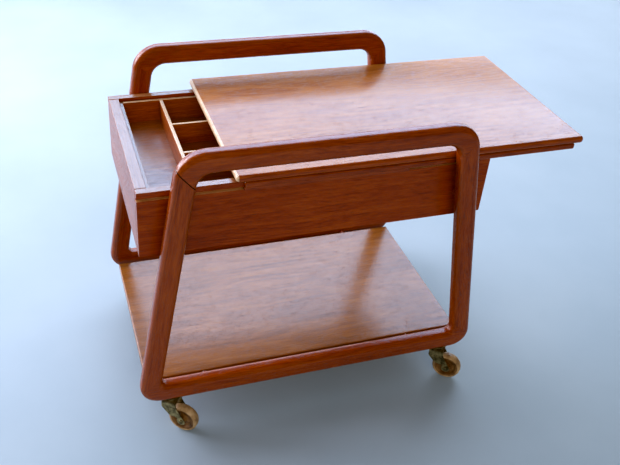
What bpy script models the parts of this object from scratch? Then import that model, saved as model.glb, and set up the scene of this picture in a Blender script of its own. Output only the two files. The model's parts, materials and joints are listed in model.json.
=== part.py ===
"""Bar cart on casters: two closed teak side frames carry a divided box with a sliding top and a lower shelf.

Metres, +Z up, floor at Z = 0. +X runs along the cart towards the side the top slides out on,
-Y is the front frame. The origin is under the middle of the whole cart with its top part open.
"""
import bmesh
import bpy
from math import acos, atan2, cos, hypot, pi, radians, sin, tan
from mathutils import Matrix, Vector

MM = 0.001
GAP = 0.3 * MM                    # air between neighbours that touch on the real cart

# The cart's own middle stands off the origin, because the open top reaches out on one side.
CART_X = -80.35 * MM

# Side frames: rounded trapezoids cut from thick boards.
FRAME_Y = 195 * MM                # frame centre plane from the middle of the cart
FRAME_THICK = 27 * MM             # across the cart
FRAME_DEPTH = 36 * MM             # in the frame's own plane
FRAME_ROUND = 10 * MM             # round-over of the long edges
RAIL_LOW_Z = 91 * MM              # centre line of the bottom rail
RAIL_HIGH_Z = 554 * MM            # centre line of the top rail
LEG_LOW_X = 304.3 * MM            # leg centre line at the bottom rail
LEG_HIGH_X = 231.9 * MM           # leg centre line at the top rail
TOP_OUTER_R, TOP_INNER_R = 52 * MM, 28 * MM
LOW_OUTER_R, LOW_INNER_R = 34 * MM, 11 * MM
JOINT_DROP = 26 * MM              # joints lie parallel to the mitres, this far along the legs
ARC_STEPS = 7

# Box between the frames.
BOX_X, BOX_Y = 305.5 * MM, 166 * MM
BOX_LOW_Z, BOX_TOP_Z = 369.5 * MM, 490.6 * MM
SIDE_THICK, END_THICK = 14 * MM, 18 * MM
BOTTOM_THICK, BOTTOM_RISE = 8 * MM, 3 * MM
GROOVE_LOW_Z, GROOVE_HIGH_Z = 475.5 * MM, 481 * MM
GROOVE_DEPTH = 7 * MM
GROOVE_END_X = 285 * MM           # the groove stops here, which limits how far the top opens

# Tray that rests on two ledges inside the box.
TRAY_LENGTH, TRAY_Y = 290 * MM, 150 * MM
TRAY_RIM_Z, TRAY_FLOOR_Z = 485 * MM, 444 * MM
TRAY_WALL, TRAY_BASE, CROSS_THICK = 6 * MM, 4 * MM, 5 * MM
TRAY_PLAY = 0.5 * MM              # tray to box end
LEDGE = 10 * MM                   # square section
DIVIDER_X = -211.5 * MM           # centre of the long divider
CROSS_Y = 49.3 * MM               # centres of the two cross dividers

# Sliding top.
TOP_X0, TOP_X1 = -151.6 * MM, 480.3 * MM
TOP_Y = 178.2 * MM
TOP_LOW_Z, TOP_HIGH_Z = 494.7 * MM, 507.7 * MM
BATTEN_INSET = 15 * MM            # batten ends stand back from the panel's ends
BATTEN_OUT_Y, BATTEN_IN_Y = 176.7 * MM, 167 * MM
BATTEN_LOW_Z = 484.2 * MM
RUNNER_LEG = 4.5 * MM
RUNNER_LOW_Z, TONGUE_HIGH_Z = 476.1 * MM, 480.4 * MM
TONGUE_IN_Y = 160 * MM
OPEN_TRAVEL = 136 * MM            # from the modelled place to fully open
CLOSE_TRAVEL = 164 * MM           # from the modelled place to closed
STOP_PLAY = 0.5 * MM              # left when the top reaches either end of its travel
STOP_SIZE = (20 * MM, 60 * MM, 8 * MM)

# Lower shelf.
SHELF_X, SHELF_Y = 306.7 * MM, 170.4 * MM
SHELF_TOP_Z, SHELF_THICK = 96.2 * MM, 12 * MM
SHELF_SPACER_X, SHELF_SPACER_R = 200 * MM, 5 * MM
BOX_SPACER_Z, BOX_SPACER_R = 420 * MM, 11 * MM

# Casters.
CASTER_X = 265 * MM
TRAIL = 24 * MM                   # axle behind the swivel axis
HEADING = radians(38.5)           # modelled swivel angle, front ones turned towards -Y
WHEEL_R, WHEEL_WIDTH, HUB_R = 27.8 * MM, 18 * MM, 22.5 * MM
AXLE_R, BORE_R = 3 * MM, 3.3 * MM
FORK_IN, FORK_SHEET = 11 * MM, 2 * MM
FORK_TOP_Z = 68.2 * MM
FORK_HALF, EYE_R = 14 * MM, 8 * MM
STEM_R, STEM_TOP_Z = 4 * MM, 100 * MM
FLANGE_R, FLANGE_THICK, RACE_R = 11 * MM, 2 * MM, 8 * MM
RIVET_R, RIVET_HIGH = 5 * MM, 2 * MM


def clear_scene():
    for old in list(bpy.data.objects):
        bpy.data.objects.remove(old, do_unlink=True)


def new_collection(name):
    group = bpy.data.collections.new(name)
    bpy.context.scene.collection.children.link(group)
    return group


clear_scene()
PARTS = new_collection("bar_cart")
CUTTERS = new_collection("cutters")


def new_material(name, colour, roughness, metallic=0.0):
    mat = bpy.data.materials.new(name)
    mat.use_nodes = True
    shader = mat.node_tree.nodes["Principled BSDF"]
    shader.inputs["Base Color"].default_value = (*colour, 1.0)
    shader.inputs["Roughness"].default_value = roughness
    shader.inputs["Metallic"].default_value = metallic
    return mat


TEAK = (0.26, 0.085, 0.028)
TEAK_TOP = (0.34, 0.15, 0.07)
TEAK_INSIDE = (0.30, 0.11, 0.035)
BRASS = (0.36, 0.30, 0.16)
AMBER = (0.62, 0.38, 0.14)


def add_part(name, mesh, finish, place=None, group=PARTS):
    """Link a mesh as a named sub-part with a material of its own."""
    obj = bpy.data.objects.new(name, mesh)
    mesh.materials.clear()
    mesh.materials.append(new_material(name + "_finish", *finish))
    if place is not None:
        obj.matrix_world = place
    group.objects.link(obj)
    return obj


def add_bevel(obj, width, segments=2, limit="ANGLE"):
    bevel = obj.modifiers.new("rounded_edges", "BEVEL")
    bevel.width = width
    bevel.segments = segments
    bevel.limit_method = limit
    bevel.angle_limit = radians(40)
    bevel.use_clamp_overlap = limit == "ANGLE"


def cut(obj, cutter, operation="DIFFERENCE"):
    """Take a cutter's shape out of a part, or keep only what lies inside it."""
    cutter.hide_render = True
    cutter.display_type = "WIRE"
    hole = obj.modifiers.new("cut_" + cutter.name, "BOOLEAN")
    hole.operation = operation
    hole.solver = "EXACT"
    hole.object = cutter


def box_mesh(name, low, high):
    mesh = bpy.data.meshes.new(name)
    bm = bmesh.new()
    bmesh.ops.create_cube(bm, size=1.0)
    low, high = Vector(low), Vector(high)
    bmesh.ops.scale(bm, vec=high - low, verts=bm.verts)
    bmesh.ops.translate(bm, vec=(low + high) / 2, verts=bm.verts)
    bm.to_mesh(mesh)
    bm.free()
    return mesh


def board(name, low, high, finish, edge=0.0, segments=1):
    """A sawn board between two corners given from the cart's own middle, with eased edges."""
    centre = (Vector(low) + Vector(high)) / 2
    mesh = box_mesh(name, Vector(low) - centre, Vector(high) - centre)
    obj = add_part(name, mesh, finish, Matrix.Translation(centre + Vector((CART_X, 0, 0))))
    if edge:
        add_bevel(obj, edge, segments)
    return obj


def arc_outline(corners, steps):
    """Points of a closed outline: each corner (x, y, radius) is a sharp point or a round stretch."""
    points = []
    for i, (x, y, radius) in enumerate(corners):
        here = Vector((x, y))
        if not radius:
            points.append(here)
            continue
        before = (Vector(corners[i - 1][:2]) - here).normalized()
        after = (Vector(corners[(i + 1) % len(corners)][:2]) - here).normalized()
        opening = acos(before.dot(after))
        middle = here + (before + after).normalized() * radius / sin(opening / 2)
        start = here + before * radius / tan(opening / 2) - middle
        end = here + after * radius / tan(opening / 2) - middle
        first = atan2(start.y, start.x)
        sweep = (atan2(end.y, end.x) - first + pi) % (2 * pi) - pi
        for k in range(steps + 1):
            angle = first + sweep * k / steps
            points.append(middle + Vector((cos(angle), sin(angle))) * radius)
    return points


def plate_mesh(name, outlines, thickness):
    """Flat outlines as one filled 2D curve with thickness, turned into a welded mesh with plain caps."""
    curve = bpy.data.curves.new(name, "CURVE")
    curve.dimensions = "2D"
    curve.fill_mode = "BOTH"
    curve.extrude = thickness / 2
    for points in outlines:
        spline = curve.splines.new("POLY")
        spline.points.add(len(points) - 1)
        for slot, point in zip(spline.points, points):
            slot.co = (point.x, point.y, 0.0, 1.0)
        spline.use_cyclic_u = True
    mesh = take_mesh(bpy.data.objects.new(name, curve))
    bm = bmesh.new()
    bm.from_mesh(mesh)
    bmesh.ops.remove_doubles(bm, verts=bm.verts, dist=0.01 * MM)
    bmesh.ops.dissolve_limit(bm, angle_limit=radians(0.2), verts=bm.verts, edges=bm.edges)
    bmesh.ops.recalc_face_normals(bm, faces=bm.faces)
    bm.to_mesh(mesh)
    bm.free()
    return mesh


# Stands a flat section (drawn as Y across, Z up) so that its thickness runs along X.
SECTION_TO_X = Matrix(((0, 0, 1, 0), (1, 0, 0, 0), (0, 1, 0, 0), (0, 0, 0, 1)))
UPRIGHT = Matrix.Rotation(radians(90), 4, "X")


def take_mesh(holder):
    """The evaluated mesh of a helper object, which is removed afterwards."""
    PARTS.objects.link(holder)
    graph = bpy.context.evaluated_depsgraph_get()
    mesh = bpy.data.meshes.new_from_object(holder.evaluated_get(graph))
    bpy.data.objects.remove(holder, do_unlink=True)
    return mesh


def profile_mesh(name, profile):
    """Half section of a turned solid: (radius, z) points run down its outer side at +X."""
    mesh = bpy.data.meshes.new(name)
    bm = bmesh.new()
    verts = [bm.verts.new((radius, 0.0, z)) for radius, z in profile]
    for a, b in zip(verts, verts[1:]):
        bm.edges.new((a, b))
    if profile[0][0] > 0:
        bm.edges.new((verts[-1], verts[0]))
    bm.to_mesh(mesh)
    bm.free()
    return mesh


def turned(name, profile, segments, finish, place):
    """A solid of revolution about the Z axis of its place."""
    obj = add_part(name, profile_mesh(name, profile), finish, place)
    screw = obj.modifiers.new("turning", "SCREW")
    screw.axis = "Z"
    screw.steps = segments
    screw.render_steps = segments
    screw.use_merge_vertices = True
    screw.merge_threshold = 0.01 * MM
    screw.use_smooth_shade = True
    return obj


def round_cutter(name, radius, low_z, high_z, place, sides=16):
    mesh = bpy.data.meshes.new(name)
    bm = bmesh.new()
    bmesh.ops.create_cone(bm, cap_ends=True, segments=sides, radius1=radius, radius2=radius,
                          depth=high_z - low_z)
    bmesh.ops.translate(bm, vec=(0, 0, (low_z + high_z) / 2), verts=bm.verts)
    bm.to_mesh(mesh)
    bm.free()
    obj = bpy.data.objects.new(name, mesh)
    obj.matrix_world = place
    CUTTERS.objects.link(obj)
    return obj


# ---------------------------------------------------------------- side frames

LEG_RUN = LEG_LOW_X - LEG_HIGH_X
LEG_RISE = RAIL_HIGH_Z - RAIL_LOW_Z
LEG_UP = LEG_RISE / hypot(LEG_RUN, LEG_RISE)           # cosine of the leg's lean


def leg_line_x(z, outward):
    """Distance of a leg's face from the frame's middle at a height, outward from its centre line."""
    return LEG_LOW_X - LEG_RUN * (z - RAIL_LOW_Z) / LEG_RISE + outward / LEG_UP


def loop_outline(outward, low_r, high_r):
    """One edge of the frame's loop, this far outward from the members' centre lines."""
    low_z, high_z = RAIL_LOW_Z - outward, RAIL_HIGH_Z + outward
    low_x, high_x = leg_line_x(low_z, outward), leg_line_x(high_z, outward)
    corners = [(-low_x, low_z, low_r), (low_x, low_z, low_r), (high_x, high_z, high_r),
               (-high_x, high_z, high_r)]
    return arc_outline(corners, ARC_STEPS)


def loop_mesh():
    """The whole side frame as a plate with square edges, before it is parted at its joints."""
    half = FRAME_DEPTH / 2
    outlines = [loop_outline(half, LOW_OUTER_R, TOP_OUTER_R), loop_outline(-half, LOW_INNER_R, TOP_INNER_R)]
    return plate_mesh("side_frame", outlines, FRAME_THICK)


def joint_plane(upper, right, inside):
    """Point and normal of a joint, its normal towards the rail if inside, else towards the leg."""
    side = 1 if upper else -1
    axis_z = RAIL_HIGH_Z if upper else RAIL_LOW_Z
    z = axis_z - side * JOINT_DROP * LEG_UP
    point = Vector((leg_line_x(z, 0), z, 0))
    half = FRAME_DEPTH / 2
    outer = Vector((leg_line_x(axis_z + side * half, half), axis_z + side * half, 0))
    inner = Vector((leg_line_x(axis_z - side * half, -half), axis_z - side * half, 0))
    along = (outer - inner).normalized()
    normal = Vector((-along.y, along.x, 0)) * side
    if not right:
        point.x, normal.x = -point.x, -normal.x
    return point, normal if inside else -normal


def keep_side(bm, point, normal):
    """Part a mesh along a plane, keep the half the normal points to and close it."""
    geometry = bm.verts[:] + bm.edges[:] + bm.faces[:]
    bmesh.ops.bisect_plane(bm, geom=geometry, plane_co=point, plane_no=normal, clear_inner=True,
                           dist=0.001 * MM)
    bmesh.ops.holes_fill(bm, edges=[edge for edge in bm.edges if edge.is_boundary])


def mark_round_edges(bm, planes):
    """Weight the edges of both flat faces for rounding over, except where a joint ends the member."""
    weights = bm.edges.layers.float.new("bevel_weight_edge")
    for edge in bm.edges:
        ends = [vert.co for vert in edge.verts]
        in_face = all(abs(abs(co.z) - FRAME_THICK / 2) < GAP / 2 for co in ends)
        across = any(all(abs((co - point).dot(normal)) < GAP for co in ends) for point, normal in planes)
        border = sum(abs(face.normal.z) > 0.9 for face in edge.link_faces) == 1
        edge[weights] = 1.0 if in_face and border and not across else 0.0


def frame_member(name, whole, planes, side_y):
    mesh = whole.copy()
    mesh.name = name
    bm = bmesh.new()
    bm.from_mesh(mesh)
    for point, normal in planes:
        keep_side(bm, point + normal * GAP / 2, normal)
    bmesh.ops.dissolve_limit(bm, angle_limit=radians(0.2), verts=bm.verts, edges=bm.edges)
    bmesh.ops.recalc_face_normals(bm, faces=bm.faces)
    mark_round_edges(bm, planes)
    bm.to_mesh(mesh)
    bm.free()
    mesh.shade_smooth()
    mesh.set_sharp_from_angle(angle=radians(35))
    obj = add_part(name, mesh, (TEAK, 0.42), Matrix.Translation((CART_X, side_y, 0)) @ UPRIGHT)
    add_bevel(obj, FRAME_ROUND, 3, limit="WEIGHT")
    return obj


def make_frame(prefix, whole, side_y):
    """Four members parted at the joints: two rails with their bends and two straight legs."""
    for upper, label in ((True, "top"), (False, "bottom")):
        planes = [joint_plane(upper, right, True) for right in (False, True)]
        rail = frame_member(f"{prefix}_{label}_rail", whole, planes, side_y)
    for right, label in ((False, "left"), (True, "right")):
        middle = (Vector(), Vector((1 if right else -1, 0, 0)))
        planes = [middle] + [joint_plane(upper, right, False) for upper in (False, True)]
        frame_member(f"{prefix}_{label}_leg", whole, planes, side_y)
    for label, x in (("left", -CASTER_X), ("right", CASTER_X)):
        place = Matrix.Translation((CART_X + x, side_y, 0))
        cut(rail, round_cutter(f"{prefix}_{label}_socket", STEM_R + GAP * 1.5,
                               RAIL_LOW_Z - FRAME_DEPTH, STEM_TOP_Z + 1 * MM, place))


def make_spacers(prefix, side):
    """Turned wood spacers that hold the box and the shelf off the frame."""
    face = FRAME_Y - FRAME_THICK / 2
    sets = (("box", BOX_SPACER_R, BOX_Y, BOX_SPACER_Z, leg_line_x(BOX_SPACER_Z, 0)),
            ("shelf", SHELF_SPACER_R, SHELF_Y, SHELF_TOP_Z - SHELF_THICK / 2, SHELF_SPACER_X))
    for kind, radius, start_y, z, x in sets:
        half = (face - start_y) / 2 - GAP
        for label, sign in (("left", -1), ("right", 1)):
            spot = (CART_X + sign * x, side * (face + start_y) / 2, z)
            profile = [(0, half), (radius, half), (radius, -half), (0, -half)]
            turned(f"{prefix}_{kind}_spacer_{label}", profile, 16, (TEAK, 0.5),
                   Matrix.Translation(spot) @ UPRIGHT)


# ---------------------------------------------------------------- box and tray

def make_box():
    for prefix, side in (("front", -1), ("rear", 1)):
        inner, outer = sorted((side * (BOX_Y - SIDE_THICK), side * BOX_Y))
        panel = board(f"{prefix}_box_side", (-BOX_X, inner, BOX_LOW_Z), (BOX_X, outer, BOX_TOP_Z),
                      (TEAK, 0.4), 0.8 * MM)
        floor_y = side * (BOX_Y - GROOVE_DEPTH)
        beyond_y = side * (BOX_Y + GROOVE_DEPTH)
        low_y, high_y = sorted((floor_y, beyond_y))
        mesh = box_mesh(f"{prefix}_groove", (-BOX_X - GROOVE_DEPTH, low_y, GROOVE_LOW_Z),
                        (GROOVE_END_X, high_y, GROOVE_HIGH_Z))
        groove = bpy.data.objects.new(f"{prefix}_groove", mesh)
        groove.matrix_world = Matrix.Translation((CART_X, 0, 0))
        CUTTERS.objects.link(groove)
        cut(panel, groove)
    inside_y = BOX_Y - SIDE_THICK - GAP
    for label, sign in (("left", -1), ("right", 1)):
        low_x, high_x = sorted((sign * BOX_X, sign * (BOX_X - END_THICK)))
        board(f"{label}_box_end", (low_x, -inside_y, BOX_LOW_Z), (high_x, inside_y, BOX_TOP_Z),
              (TEAK, 0.4), 0.8 * MM)
    inside_x = BOX_X - END_THICK - GAP
    low_z = BOX_LOW_Z + BOTTOM_RISE
    board("box_bottom", (-inside_x, -inside_y, low_z), (inside_x, inside_y, low_z + BOTTOM_THICK),
          (TEAK_INSIDE, 0.5))
    ledge_top = TRAY_FLOOR_Z - TRAY_BASE - GAP
    for prefix, side in (("front", -1), ("rear", 1)):
        low_y, high_y = sorted((side * inside_y, side * (inside_y - LEDGE)))
        board(f"{prefix}_tray_ledge", (-inside_x, low_y, ledge_top - LEDGE),
              (inside_x, high_y, ledge_top), (TEAK_INSIDE, 0.5))


def make_tray():
    x0 = -(BOX_X - END_THICK) + TRAY_PLAY
    x1 = x0 + TRAY_LENGTH
    low_z = TRAY_FLOOR_Z - TRAY_BASE
    finish = (TEAK_INSIDE, 0.45)
    ease = 0.6 * MM
    for label, start in (("left", x0), ("right", x1 - TRAY_WALL)):
        board(f"tray_{label}_wall", (start, -TRAY_Y, low_z), (start + TRAY_WALL, TRAY_Y, TRAY_RIM_Z),
              finish, ease)
    wall_x0, wall_x1 = x0 + TRAY_WALL + GAP, x1 - TRAY_WALL - GAP
    for prefix, side in (("front", -1), ("rear", 1)):
        low_y, high_y = sorted((side * TRAY_Y, side * (TRAY_Y - TRAY_WALL)))
        board(f"tray_{prefix}_wall", (wall_x0, low_y, low_z), (wall_x1, high_y, TRAY_RIM_Z),
              finish, ease)
    clear_y = TRAY_Y - TRAY_WALL - GAP
    board("tray_base", (wall_x0, -clear_y, low_z), (wall_x1, clear_y, TRAY_FLOOR_Z), finish)
    floor_z = TRAY_FLOOR_Z + GAP
    divider_half = TRAY_WALL / 2
    board("tray_long_divider", (DIVIDER_X - divider_half, -clear_y, floor_z),
          (DIVIDER_X + divider_half, clear_y, TRAY_RIM_Z), finish, ease)
    cell_x0 = DIVIDER_X + divider_half + GAP
    for prefix, side in (("front", -1), ("rear", 1)):
        low_y, high_y = side * CROSS_Y - CROSS_THICK / 2, side * CROSS_Y + CROSS_THICK / 2
        board(f"tray_{prefix}_cross_divider", (cell_x0, low_y, floor_z),
              (wall_x1, high_y, TRAY_RIM_Z), finish, ease)


# ---------------------------------------------------------------- sliding top and shelf

def make_top():
    board("top_panel", (TOP_X0, -TOP_Y, TOP_LOW_Z), (TOP_X1, TOP_Y, TOP_HIGH_Z),
          (TEAK_TOP, 0.32), 3.5 * MM, 2)
    batten_x0, batten_x1 = TOP_X0 + BATTEN_INSET, TOP_X1 - BATTEN_INSET
    runner_x1 = GROOVE_END_X - OPEN_TRAVEL - STOP_PLAY
    for prefix, side in (("front", -1), ("rear", 1)):
        low_y, high_y = sorted((side * BATTEN_OUT_Y, side * BATTEN_IN_Y))
        board(f"{prefix}_top_batten", (batten_x0, low_y, BATTEN_LOW_Z),
              (batten_x1, high_y, TOP_LOW_Z - GAP), (TEAK, 0.4), 1.2 * MM)
        make_runner(prefix, side, batten_x0, runner_x1)
    stop_x = -(BOX_X - END_THICK) + CLOSE_TRAVEL + STOP_PLAY
    length, width, height = STOP_SIZE
    board("top_stop_block", (stop_x, -width / 2, TOP_LOW_Z - GAP - height),
          (stop_x + length, width / 2, TOP_LOW_Z - GAP), (TEAK, 0.5))


def make_runner(prefix, side, x0, x1):
    """An L-shaped strip under the batten, whose tongue runs in the box side's groove."""
    high_z = BATTEN_LOW_Z - GAP
    out_y, in_y = BATTEN_IN_Y + RUNNER_LEG, BATTEN_IN_Y
    corners = [(out_y, RUNNER_LOW_Z, 0), (out_y, high_z, 0), (in_y, high_z, 0),
               (in_y, TONGUE_HIGH_Z, 0), (TONGUE_IN_Y, TONGUE_HIGH_Z, 0), (TONGUE_IN_Y, RUNNER_LOW_Z, 0)]
    points = arc_outline([(side * y, z, r) for y, z, r in corners], 1)
    mesh = plate_mesh(f"{prefix}_top_runner", [points], x1 - x0)
    place = Matrix.Translation((CART_X + (x0 + x1) / 2, 0, 0)) @ SECTION_TO_X
    add_part(f"{prefix}_top_runner", mesh, (TEAK, 0.5), place)


def make_shelf():
    board("shelf_panel", (-SHELF_X, -SHELF_Y, SHELF_TOP_Z - SHELF_THICK), (SHELF_X, SHELF_Y, SHELF_TOP_Z),
          (TEAK_TOP, 0.34), 1.5 * MM)


# ---------------------------------------------------------------- casters

def make_stem(name, place):
    """Stem pressed into the rail: shank, flange against the wood, ball race, neck and rivet head."""
    flange_z = RAIL_LOW_Z - FRAME_DEPTH / 2 - GAP
    race_z = FORK_TOP_Z + GAP
    head_z = FORK_TOP_Z - FORK_SHEET - GAP
    profile = [(0, STEM_TOP_Z), (STEM_R, STEM_TOP_Z), (STEM_R, flange_z), (FLANGE_R, flange_z),
               (FLANGE_R, flange_z - FLANGE_THICK), (RACE_R, flange_z - FLANGE_THICK), (RACE_R, race_z),
               (AXLE_R, race_z), (AXLE_R, head_z), (RIVET_R, head_z), (RIVET_R - 1 * MM, head_z - RIVET_HIGH),
               (0, head_z - RIVET_HIGH)]
    turned(name, profile, 16, (BRASS, 0.4, 0.9), place)


def cheek_outline():
    """Side view of the fork's cheeks: square shoulders under the stem, narrowing to the axle eye."""
    top = FORK_TOP_Z
    return [(-FORK_HALF, top + 5 * MM, 0), (-FORK_HALF, top - 14 * MM, 8 * MM),
            (TRAIL - EYE_R, WHEEL_R - EYE_R * 0.7, 5 * MM), (TRAIL + 3 * MM, WHEEL_R - EYE_R * 1.2, 7 * MM),
            (TRAIL + EYE_R * 1.1, WHEEL_R, 6 * MM), (FORK_HALF, top - 12 * MM, 12 * MM),
            (FORK_HALF, top + 5 * MM, 0)]


def make_fork(name, place):
    """Pressed fork: a sheet channel trimmed to the cheeks' outline, with the neck and axle holes."""
    out, inn, top = FORK_IN + FORK_SHEET, FORK_IN, FORK_TOP_Z
    foot = WHEEL_R - EYE_R * 1.5
    channel = [(-out, foot, 0), (-out, top, 3 * MM), (out, top, 3 * MM), (out, foot, 0),
               (inn, foot, 0), (inn, top - FORK_SHEET, 1 * MM), (-inn, top - FORK_SHEET, 1 * MM),
               (-inn, foot, 0)]
    mesh = plate_mesh(name, [arc_outline(channel, 2)], 4 * TRAIL)
    mesh.transform(SECTION_TO_X)
    fork = add_part(name, mesh, (BRASS, 0.4, 0.9), place)
    trim_mesh = plate_mesh(name + "_outline", [arc_outline(cheek_outline(), 4)], 4 * out)
    trim_mesh.transform(UPRIGHT)
    trim = bpy.data.objects.new(name + "_outline", trim_mesh)
    trim.matrix_world = place
    CUTTERS.objects.link(trim)
    cut(fork, trim, "INTERSECT")
    cut(fork, round_cutter(name + "_neck_hole", BORE_R, top - out, top + out, place, 12))
    across = place @ Matrix.Translation((TRAIL, 0, WHEEL_R)) @ UPRIGHT
    cut(fork, round_cutter(name + "_axle_hole", BORE_R, -2 * out, 2 * out, across, 12))


def make_wheel(prefix, place):
    """Rivet axle, dished hub and soft tyre, all turned about the axle."""
    head, low = FORK_IN + FORK_SHEET + GAP, RIVET_R - 1.5 * MM
    axle = [(0, head + RIVET_HIGH), (low, head + RIVET_HIGH), (RIVET_R, head), (AXLE_R, head),
            (AXLE_R, -head), (RIVET_R, -head), (low, -head - RIVET_HIGH), (0, -head - RIVET_HIGH)]
    turned(f"{prefix}_axle", axle, 12, (BRASS, 0.35, 0.9), place)
    half = WHEEL_WIDTH / 2
    boss, rim, web = half + 0.8 * MM, half - 1.5 * MM, 2.5 * MM
    upper = [(BORE_R, boss), (7 * MM, boss), (8 * MM, web), (17 * MM, web), (19 * MM, rim), (HUB_R, rim)]
    lower = [(radius, -z) for radius, z in reversed(upper)]
    turned(f"{prefix}_hub", upper + lower, 24, (AMBER, 0.4), place)
    upper = [(HUB_R + GAP, half - 1.2 * MM), (WHEEL_R - 3 * MM, half), (WHEEL_R - 0.8 * MM, half - 2 * MM),
             (WHEEL_R, half - 4 * MM)]
    lower = [(radius, -z) for radius, z in reversed(upper)]
    turned(f"{prefix}_tyre", upper + lower, 32, (AMBER, 0.55), place)


def make_caster(prefix, x, side):
    """A caster on the bottom rail, turned to its modelled heading about the swivel axis."""
    swivel = Matrix.Translation((CART_X + x, side * FRAME_Y, 0)) @ Matrix.Rotation(side * HEADING, 4, "Z")
    make_stem(f"{prefix}_stem", swivel)
    make_fork(f"{prefix}_fork", swivel)
    make_wheel(prefix, swivel @ Matrix.Translation((TRAIL, 0, WHEEL_R)) @ UPRIGHT)


SIDE_FRAME = loop_mesh()
for side_name, side_sign in (("front", -1), ("rear", 1)):
    make_frame(f"{side_name}_frame", SIDE_FRAME, side_sign * FRAME_Y)
    make_spacers(side_name, side_sign)
    for end_name, end_x in (("left", -CASTER_X), ("right", CASTER_X)):
        make_caster(f"{side_name}_{end_name}_caster", end_x, side_sign)
make_box()
make_tray()
make_top()
make_shelf()
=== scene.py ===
"""Bar cart: oiled teak side frames, a divided box with a sliding top, a veneered shelf, four casters.

Metres, +Z up, floor at Z = 0. +X runs along the cart towards the overhang of the open top, -Y is the front.
"""

import json
from math import cos, pi, radians, sin, sqrt, tan

import bmesh
import bpy
from mathutils import Matrix, Vector


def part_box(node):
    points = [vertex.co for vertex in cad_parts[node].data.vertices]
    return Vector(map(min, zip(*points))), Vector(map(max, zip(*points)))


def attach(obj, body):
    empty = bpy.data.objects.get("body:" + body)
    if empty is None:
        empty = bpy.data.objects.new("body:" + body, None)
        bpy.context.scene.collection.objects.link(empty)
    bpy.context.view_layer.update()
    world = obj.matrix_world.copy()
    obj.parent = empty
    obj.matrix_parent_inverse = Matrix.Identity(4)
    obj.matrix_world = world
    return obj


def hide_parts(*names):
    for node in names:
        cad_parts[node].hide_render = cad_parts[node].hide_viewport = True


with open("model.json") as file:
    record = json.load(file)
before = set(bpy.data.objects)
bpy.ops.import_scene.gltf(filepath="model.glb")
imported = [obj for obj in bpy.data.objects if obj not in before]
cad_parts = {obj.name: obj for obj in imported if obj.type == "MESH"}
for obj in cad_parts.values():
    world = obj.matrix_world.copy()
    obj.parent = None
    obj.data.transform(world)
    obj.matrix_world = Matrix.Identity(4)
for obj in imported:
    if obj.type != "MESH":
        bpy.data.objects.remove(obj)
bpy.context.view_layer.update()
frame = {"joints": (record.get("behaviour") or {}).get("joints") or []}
MM = 0.001

# ------------------------------------------------------------------ side frames
# Each side frame is a closed loop of solid teak, 27 x 36 mm, in four members: two rails with the
# bends sawn into their ends and two leaning legs. They are glued at oblique joints just below the
# bends, then the whole loop is rounded over and oiled.

FRAME_DEPTH = 36 * MM                                 # from the loop's inner edge to its outer edge
FRAME_THICK = 27 * MM
FRAME_ROUND = 10 * MM
LEG_LOW_X, LEG_HIGH_X = 304.3 * MM, 231.9 * MM        # leg centre lines at the rails' centre lines
TOP_BEND = (52 * MM, 28 * MM)                         # outer and inner radius
LOW_BEND = (34 * MM, 11 * MM)
JOINT_DROP = 26 * MM                                  # from a corner of the centre lines to its joint
JOINT_EASE = 0.25 * MM                                # a closed glue joint still shows a hairline
OPEN_JOINT_EASE = 0.9 * MM                            # one joint has opened and gathered dirt


def linear(code):
    """An sRGB hex colour as linear light."""
    parts = [int(code[i:i + 2], 16) / 255 for i in (1, 3, 5)]
    return tuple(c / 12.92 if c <= 0.04045 else ((c + 0.055) / 1.055) ** 2.4 for c in parts)


def add(tree, kind, links=None, stops=(), **settings):
    """Adds a node; links maps an input's name or number to a socket or a plain value, and stops are the
    (position, hex colour) pairs of a colour ramp."""
    node = tree.nodes.new("ShaderNode" + kind)
    for name, value in settings.items():
        setattr(node, name, value)
    for key, value in (links or {}).items():
        if isinstance(value, bpy.types.NodeSocket):
            tree.links.new(value, node.inputs[key])
        else:
            node.inputs[key].default_value = value
    if stops:
        elements = node.color_ramp.elements
        while len(elements) < len(stops):
            elements.new(0.5)
        for element, (position, code) in zip(elements, stops):
            element.position, element.color = position, (*linear(code), 1.0)
    return node


def new_finish(name):
    mat = bpy.data.materials.new(name)
    mat.use_nodes = True
    return mat, mat.node_tree, mat.node_tree.nodes["Principled BSDF"]


# Lengths along and across the grain of one streak of each kind. Real fibre lines and pores are a quarter
# of a millimetre wide; these are drawn coarser so that they show.
COLOUR_BAND = (400 * MM, 10 * MM)
FIBRE = (45 * MM, 1.7 * MM)
PORE = (15 * MM, 1.0 * MM)
BOARD_TONE = (260 * MM, 80 * MM)
RING_TONGUE = (480 * MM, 65 * MM)
RING_TURNS = 16.0                                     # early and late wood over a tongue's whole height
WANDER = 24 * MM                                      # the most that the fibres stray from straight
RUBBED = 0.35                                         # share of the paler colour on a worn edge


def streaks(tree, grain, size, detail=3.0, roughness=0.55):
    """Noise drawn out along the grain, with streaks of about this length and width."""
    along, across = size
    scaled = add(tree, "VectorMath", {0: grain, 1: (1 / along, 1 / across, 1 / across)}, operation="MULTIPLY")
    links = {"Vector": scaled.outputs[0], "Scale": 1.0, "Detail": detail, "Roughness": roughness}
    return add(tree, "TexNoise", links).outputs["Fac"]


def mixed_tones(tree, parts):
    """Adds patterns that centre on a half, each with its own share, and keeps the sum centred on a half."""
    total = 0.5 * (1 - sum(share for _, share in parts))
    for pattern, share in parts:
        total = add(tree, "Math", {0: pattern, 1: share, 2: total}, operation="MULTIPLY_ADD").outputs[0]
    return total


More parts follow.
